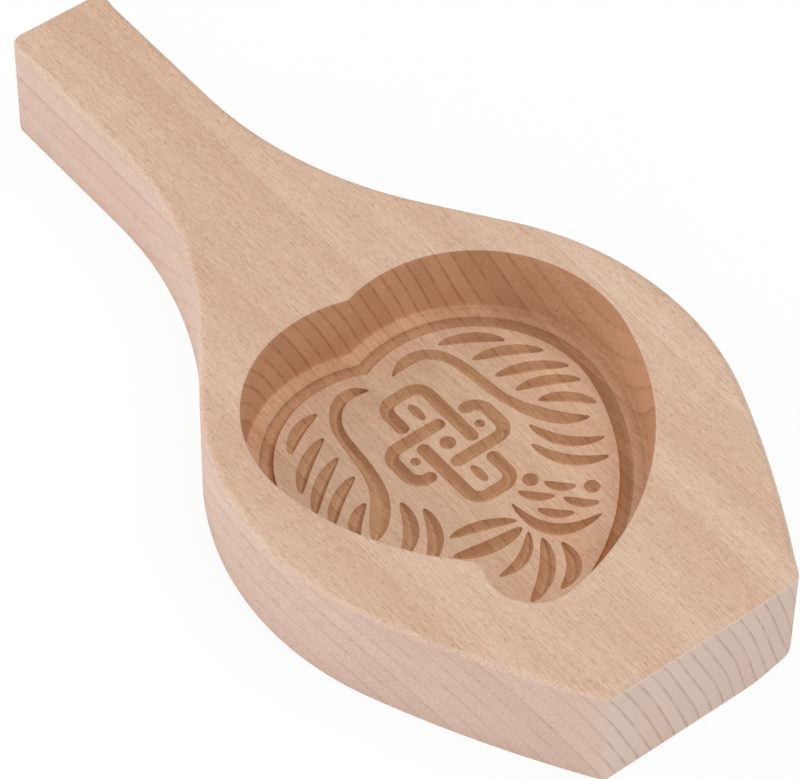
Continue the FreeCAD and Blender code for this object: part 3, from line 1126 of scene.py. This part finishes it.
    def ground(self, graph: Graph, wood: Wood) -> bpy.types.NodeSocket:
        """Lay the plain wood: patches, fibres, the painted sheen of the sides, and end grain.

        Args:
            graph: The material's nodes.
            wood: Sockets of the wood.

        Returns:
            The colour.
        """
        face, pale = linear(self.face), linear(self.pale)
        colour = graph.blend(graph.fade(wood.patch, self.patch_share), face, pale)
        colour = graph.blend(graph.fade(wood.fibre, self.fibre_share), colour, linear(self.ring))
        colour = graph.blend(graph.fade(wood.hatch, self.hatch_share), colour, pale)
        # Painted sheen: sanded upright faces turn paler and pinker.
        aside = graph.math("MULTIPLY", graph.fade(wood.level, self.painted_sheen_facing), wood.bare)
        aside = graph.math("MULTIPLY", aside, self.painted_sheen_share)
        colour = graph.blend(aside, colour, linear(self.side))
        return graph.blend(graph.math("MULTIPLY", wood.end, wood.bare), colour, linear(self.end))

    def figure(self, graph: Graph, wood: Wood,
               colour: bpy.types.NodeSocket) -> bpy.types.NodeSocket:
        """Draw the growth rings and flecks over a colour.

        The late wood's lines are faint on level faces, clearer on the sides and clearest on end
        grain and in cuts.

        Args:
            graph: The material's nodes.
            wood: Sockets of the wood.
            colour: The plain wood.

        Returns:
            The colour.
        """
        late, tone = self.rings(graph, wood.place)
        share = graph.math("MULTIPLY_ADD", wood.worked, self.worked_tone, self.tone_share)
        colour = graph.blend(graph.math("MULTIPLY", tone, share), colour, linear(self.ring))
        speckle = graph.math("MULTIPLY", graph.fade(wood.fuzz, self.speckle_share), wood.end)
        speckle = graph.math("MULTIPLY", speckle, wood.bare)
        colour = graph.blend(speckle, colour, linear(self.pale))
        strength = graph.math("MULTIPLY_ADD", wood.level, -self.level_line_loss, self.side_line)
        strength = graph.math("MULTIPLY_ADD", wood.end, self.end_line, strength)
        strength = graph.math("MULTIPLY_ADD", wood.worked, self.worked_line, strength)
        colour = graph.blend(graph.math("MULTIPLY", late, strength), colour, linear(self.ring))
        dash = graph.math("MULTIPLY", wood.dash, self.dash_share)
        return graph.blend(dash, colour, linear(self.fleck))

    def tinted_shaded_and_highlighted(self, graph: Graph, wood: Wood,
             colour: bpy.types.NodeSocket) -> bpy.types.NodeSocket:
        """Tint a colour by how the surface was worked, partly as painted shade in the pocket and
        its cuts, and paint a highlight on the rounded top edges.

        Args:
            graph: The material's nodes.
            wood: Sockets of the wood.
            colour: The colour of sanded wood.

        Returns:
            The colour.
        """
        # Partly painted shade: the ramp darkens and yellows the pocket's surfaces by their cut.
        ramp = graph.add("ShaderNodeValToRGB", {0: wood.worked})
        stops = ramp.color_ramp.elements
        stops[0].color = linear(self.tints_with_painted_shade[0][1])
        stops[1].color = linear(self.tints_with_painted_shade[-1][1])
        for cut, cut_shade_tint in self.tints_with_painted_shade[1:-1]:
            stops.new(cut.value).color = linear(cut_shade_tint)
        colour = graph.blend(1.0, colour, ramp.outputs[0], "MULTIPLY")
        # Painted highlight: the rounded top edges of sanded faces turn pale, broken up by the fuzz
        # noise.
        edge = graph.math("MULTIPLY", graph.fade(wood.upward, self.highlight_above),
                          graph.fade(wood.upward, self.highlight_below))
        edge = graph.math("MULTIPLY", edge, graph.fade(wood.fuzz, self.edge_highlight_share))
        edge = graph.math("MULTIPLY", edge, graph.fade(wood.worked, self.sanded_below))
        return graph.blend(edge, colour, linear(self.pale))

    def material(self) -> bpy.types.Material:
        """Make the material.

        Returns:
            The finished material.
        """
        finish = bpy.data.materials.new("sanded_beech")
        finish.use_nodes = True
        graph = Graph(finish.node_tree)
        wood = self.read(graph)
        colour = self.figure(graph, wood, self.ground(graph, wood))
        colour = self.tinted_shaded_and_highlighted(graph, wood, colour)
        relief = graph.math("MULTIPLY_ADD", wood.dash, -self.dash_depth,
                            graph.math("ADD", wood.fibre, wood.hatch))
        bump = graph.add("ShaderNodeBump", {"Height": relief, "Distance": self.bump_mm * MM,
                                            "Strength": self.bump_strength})
        shader = graph.add("ShaderNodeBsdfPrincipled", {
            "Base Color": colour, "Roughness": self.roughness, "IOR": self.ior,
            "Normal": bump.outputs[0]})
        graph.add("ShaderNodeOutputMaterial", {"Surface": shader.outputs[0]})
        return finish


@dataclass(frozen=True)
class Mold:
    """The whole mold, as one closed mesh in one finish."""

    board: Board
    peach: Peach
    carving: Carving
    finish: SandedBeech

    def build(self) -> bpy.types.Object:
        """Make the mesh.

        Returns:
            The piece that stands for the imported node.
        """
        skin = Skin()
        outer = self.board.build(skin)
        rim, plateau = self.peach.build(skin)
        skin.add_flat([outer, rim], self.board.thickness, Cut.SANDED)
        self.carving.build(skin, plateau)
        return skin.build("carved_board")

    def dress(self, piece: bpy.types.Object) -> None:
        """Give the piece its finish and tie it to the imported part.

        Args:
            piece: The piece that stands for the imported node.
        """
        piece.data.materials.append(self.finish.material())
        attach(piece, BODY)
        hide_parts(NODE)


@dataclass(frozen=True)
class Viewpoint:
    """Camera of the photograph, from a fit to the outline, the upright edges and the rim."""

    azimuth: float = math.radians(51.31)
    elevation: float = math.radians(48.92)
    roll: float = math.radians(0.73)
    distance: float = 1042.0
    target: Triple = (4.9, 7.74, 0.0)
    focal_px: float = 4501.0
    image_width_px: float = 800.0
    sensor: float = 36.0
    far_clip: float = 100.0

    def build(self) -> None:
        """Make the camera and look through it."""
        data = bpy.data.cameras.new("camera")
        data.sensor_width = self.sensor
        data.lens = self.focal_px * self.sensor / self.image_width_px
        data.clip_end = self.far_clip
        back = Vector((math.sin(self.azimuth) * math.cos(self.elevation),
                       -math.cos(self.azimuth) * math.cos(self.elevation),
                       math.sin(self.elevation)))
        level = Vector((0, 0, 1)).cross(back).normalized()
        upright = back.cross(level)
        right = math.cos(self.roll) * level + math.sin(self.roll) * upright
        up = math.cos(self.roll) * upright - math.sin(self.roll) * level
        place = (Vector(self.target) + back * self.distance) * MM
        camera = bpy.data.objects.new("camera", data)
        bpy.context.scene.collection.objects.link(camera)
        turn = Matrix((right, up, back)).transposed().to_4x4()
        camera.matrix_world = Matrix.Translation(place) @ turn
        bpy.context.scene.camera = camera


@dataclass(frozen=True)
class Studio:
    """White table under a pale sky and three soft lamps: above, in front and at the left.

    Lengths are in metres. A lamp is its name, its power in watts and its place, and it points at
    the middle of the mold.
    """

    floor_size: float = 6.0
    white: str = "#FFFFFF"
    floor_glow: float = 0.92
    sky: float = 0.38
    lamp_size: float = 1.1
    lamps: tuple[tuple[str, float, Triple], ...] = (
        ("above", 11.6, (0.32, 0.44, 1.50)),
        ("front", 3.8, (0.95, -0.85, 0.45)),
        ("left", 11.2, (-1.20, -1.00, 0.65)),
    )

    def floor(self) -> None:
        """Lay the floor at the mold's underside, with a glow that only the camera sees."""
        mesh = bpy.data.meshes.new("floor")
        half = self.floor_size / 2
        mesh.from_pydata([(-half, -half, 0), (half, -half, 0), (half, half, 0), (-half, half, 0)],
                         [], [(0, 1, 2, 3)])
        floor = bpy.data.objects.new("floor", mesh)
        bpy.context.scene.collection.objects.link(floor)
        paint = bpy.data.materials.new("white_table")
        paint.use_nodes = True
        graph = Graph(paint.node_tree)
        matte = graph.add("ShaderNodeBsdfDiffuse", {"Color": linear(self.white)})
        glow = graph.add("ShaderNodeEmission", {"Color": linear(self.white)})
        seen = graph.add("ShaderNodeLightPath").outputs["Is Camera Ray"]
        share = graph.math("MULTIPLY", seen, self.floor_glow)
        both = graph.add("ShaderNodeMixShader", {0: share, 1: matte.outputs[0], 2: glow.outputs[0]})
        graph.add("ShaderNodeOutputMaterial", {"Surface": both.outputs[0]})
        mesh.materials.append(paint)

    def lights(self) -> None:
        """Hang the soft lamps and set the sky, which the camera sees as white."""
        for name, power, spot in self.lamps:
            data = bpy.data.lights.new(name, "AREA")
            data.shape = "DISK"
            data.size = self.lamp_size
            data.energy = power
            lamp = bpy.data.objects.new(name, data)
            bpy.context.scene.collection.objects.link(lamp)
            lamp.location = spot
            lamp.rotation_euler = Vector(spot).to_track_quat("Z", "Y").to_euler()
        world = bpy.data.worlds.new("sky")
        world.use_nodes = True
        bpy.context.scene.world = world
        graph = Graph(world.node_tree)
        seen = graph.add("ShaderNodeLightPath").outputs["Is Camera Ray"]
        white = linear(self.white)
        light = graph.add("ShaderNodeBackground", {"Color": white, "Strength": self.sky})
        view = graph.add("ShaderNodeBackground", {"Color": white, "Strength": 1.0})
        both = graph.add("ShaderNodeMixShader", {0: seen, 1: light.outputs[0], 2: view.outputs[0]})
        graph.add("ShaderNodeOutputWorld", {"Surface": both.outputs[0]})


def main() -> None:
    """Build the mold, its studio and its camera."""
    logging.basicConfig(level=logging.INFO, format="%(name)s: %(message)s")
    bpy.context.scene.view_settings.view_transform = "Standard"
    low, high = (np.array(corner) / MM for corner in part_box(NODE))
    board = Board(length=float(high[0] - low[0]), thickness=float(high[2] - low[2]),
                  head_half_width=float(high[1] - low[1]) / 2)
    peach = Peach(top=board.thickness)
    mold = Mold(board, peach, Carving(floor=peach.floor), SandedBeech())
    mold.dress(mold.build())
    Viewpoint().build()
    studio = Studio()
    studio.floor()
    studio.lights()


if __name__ == "__main__":
    main()
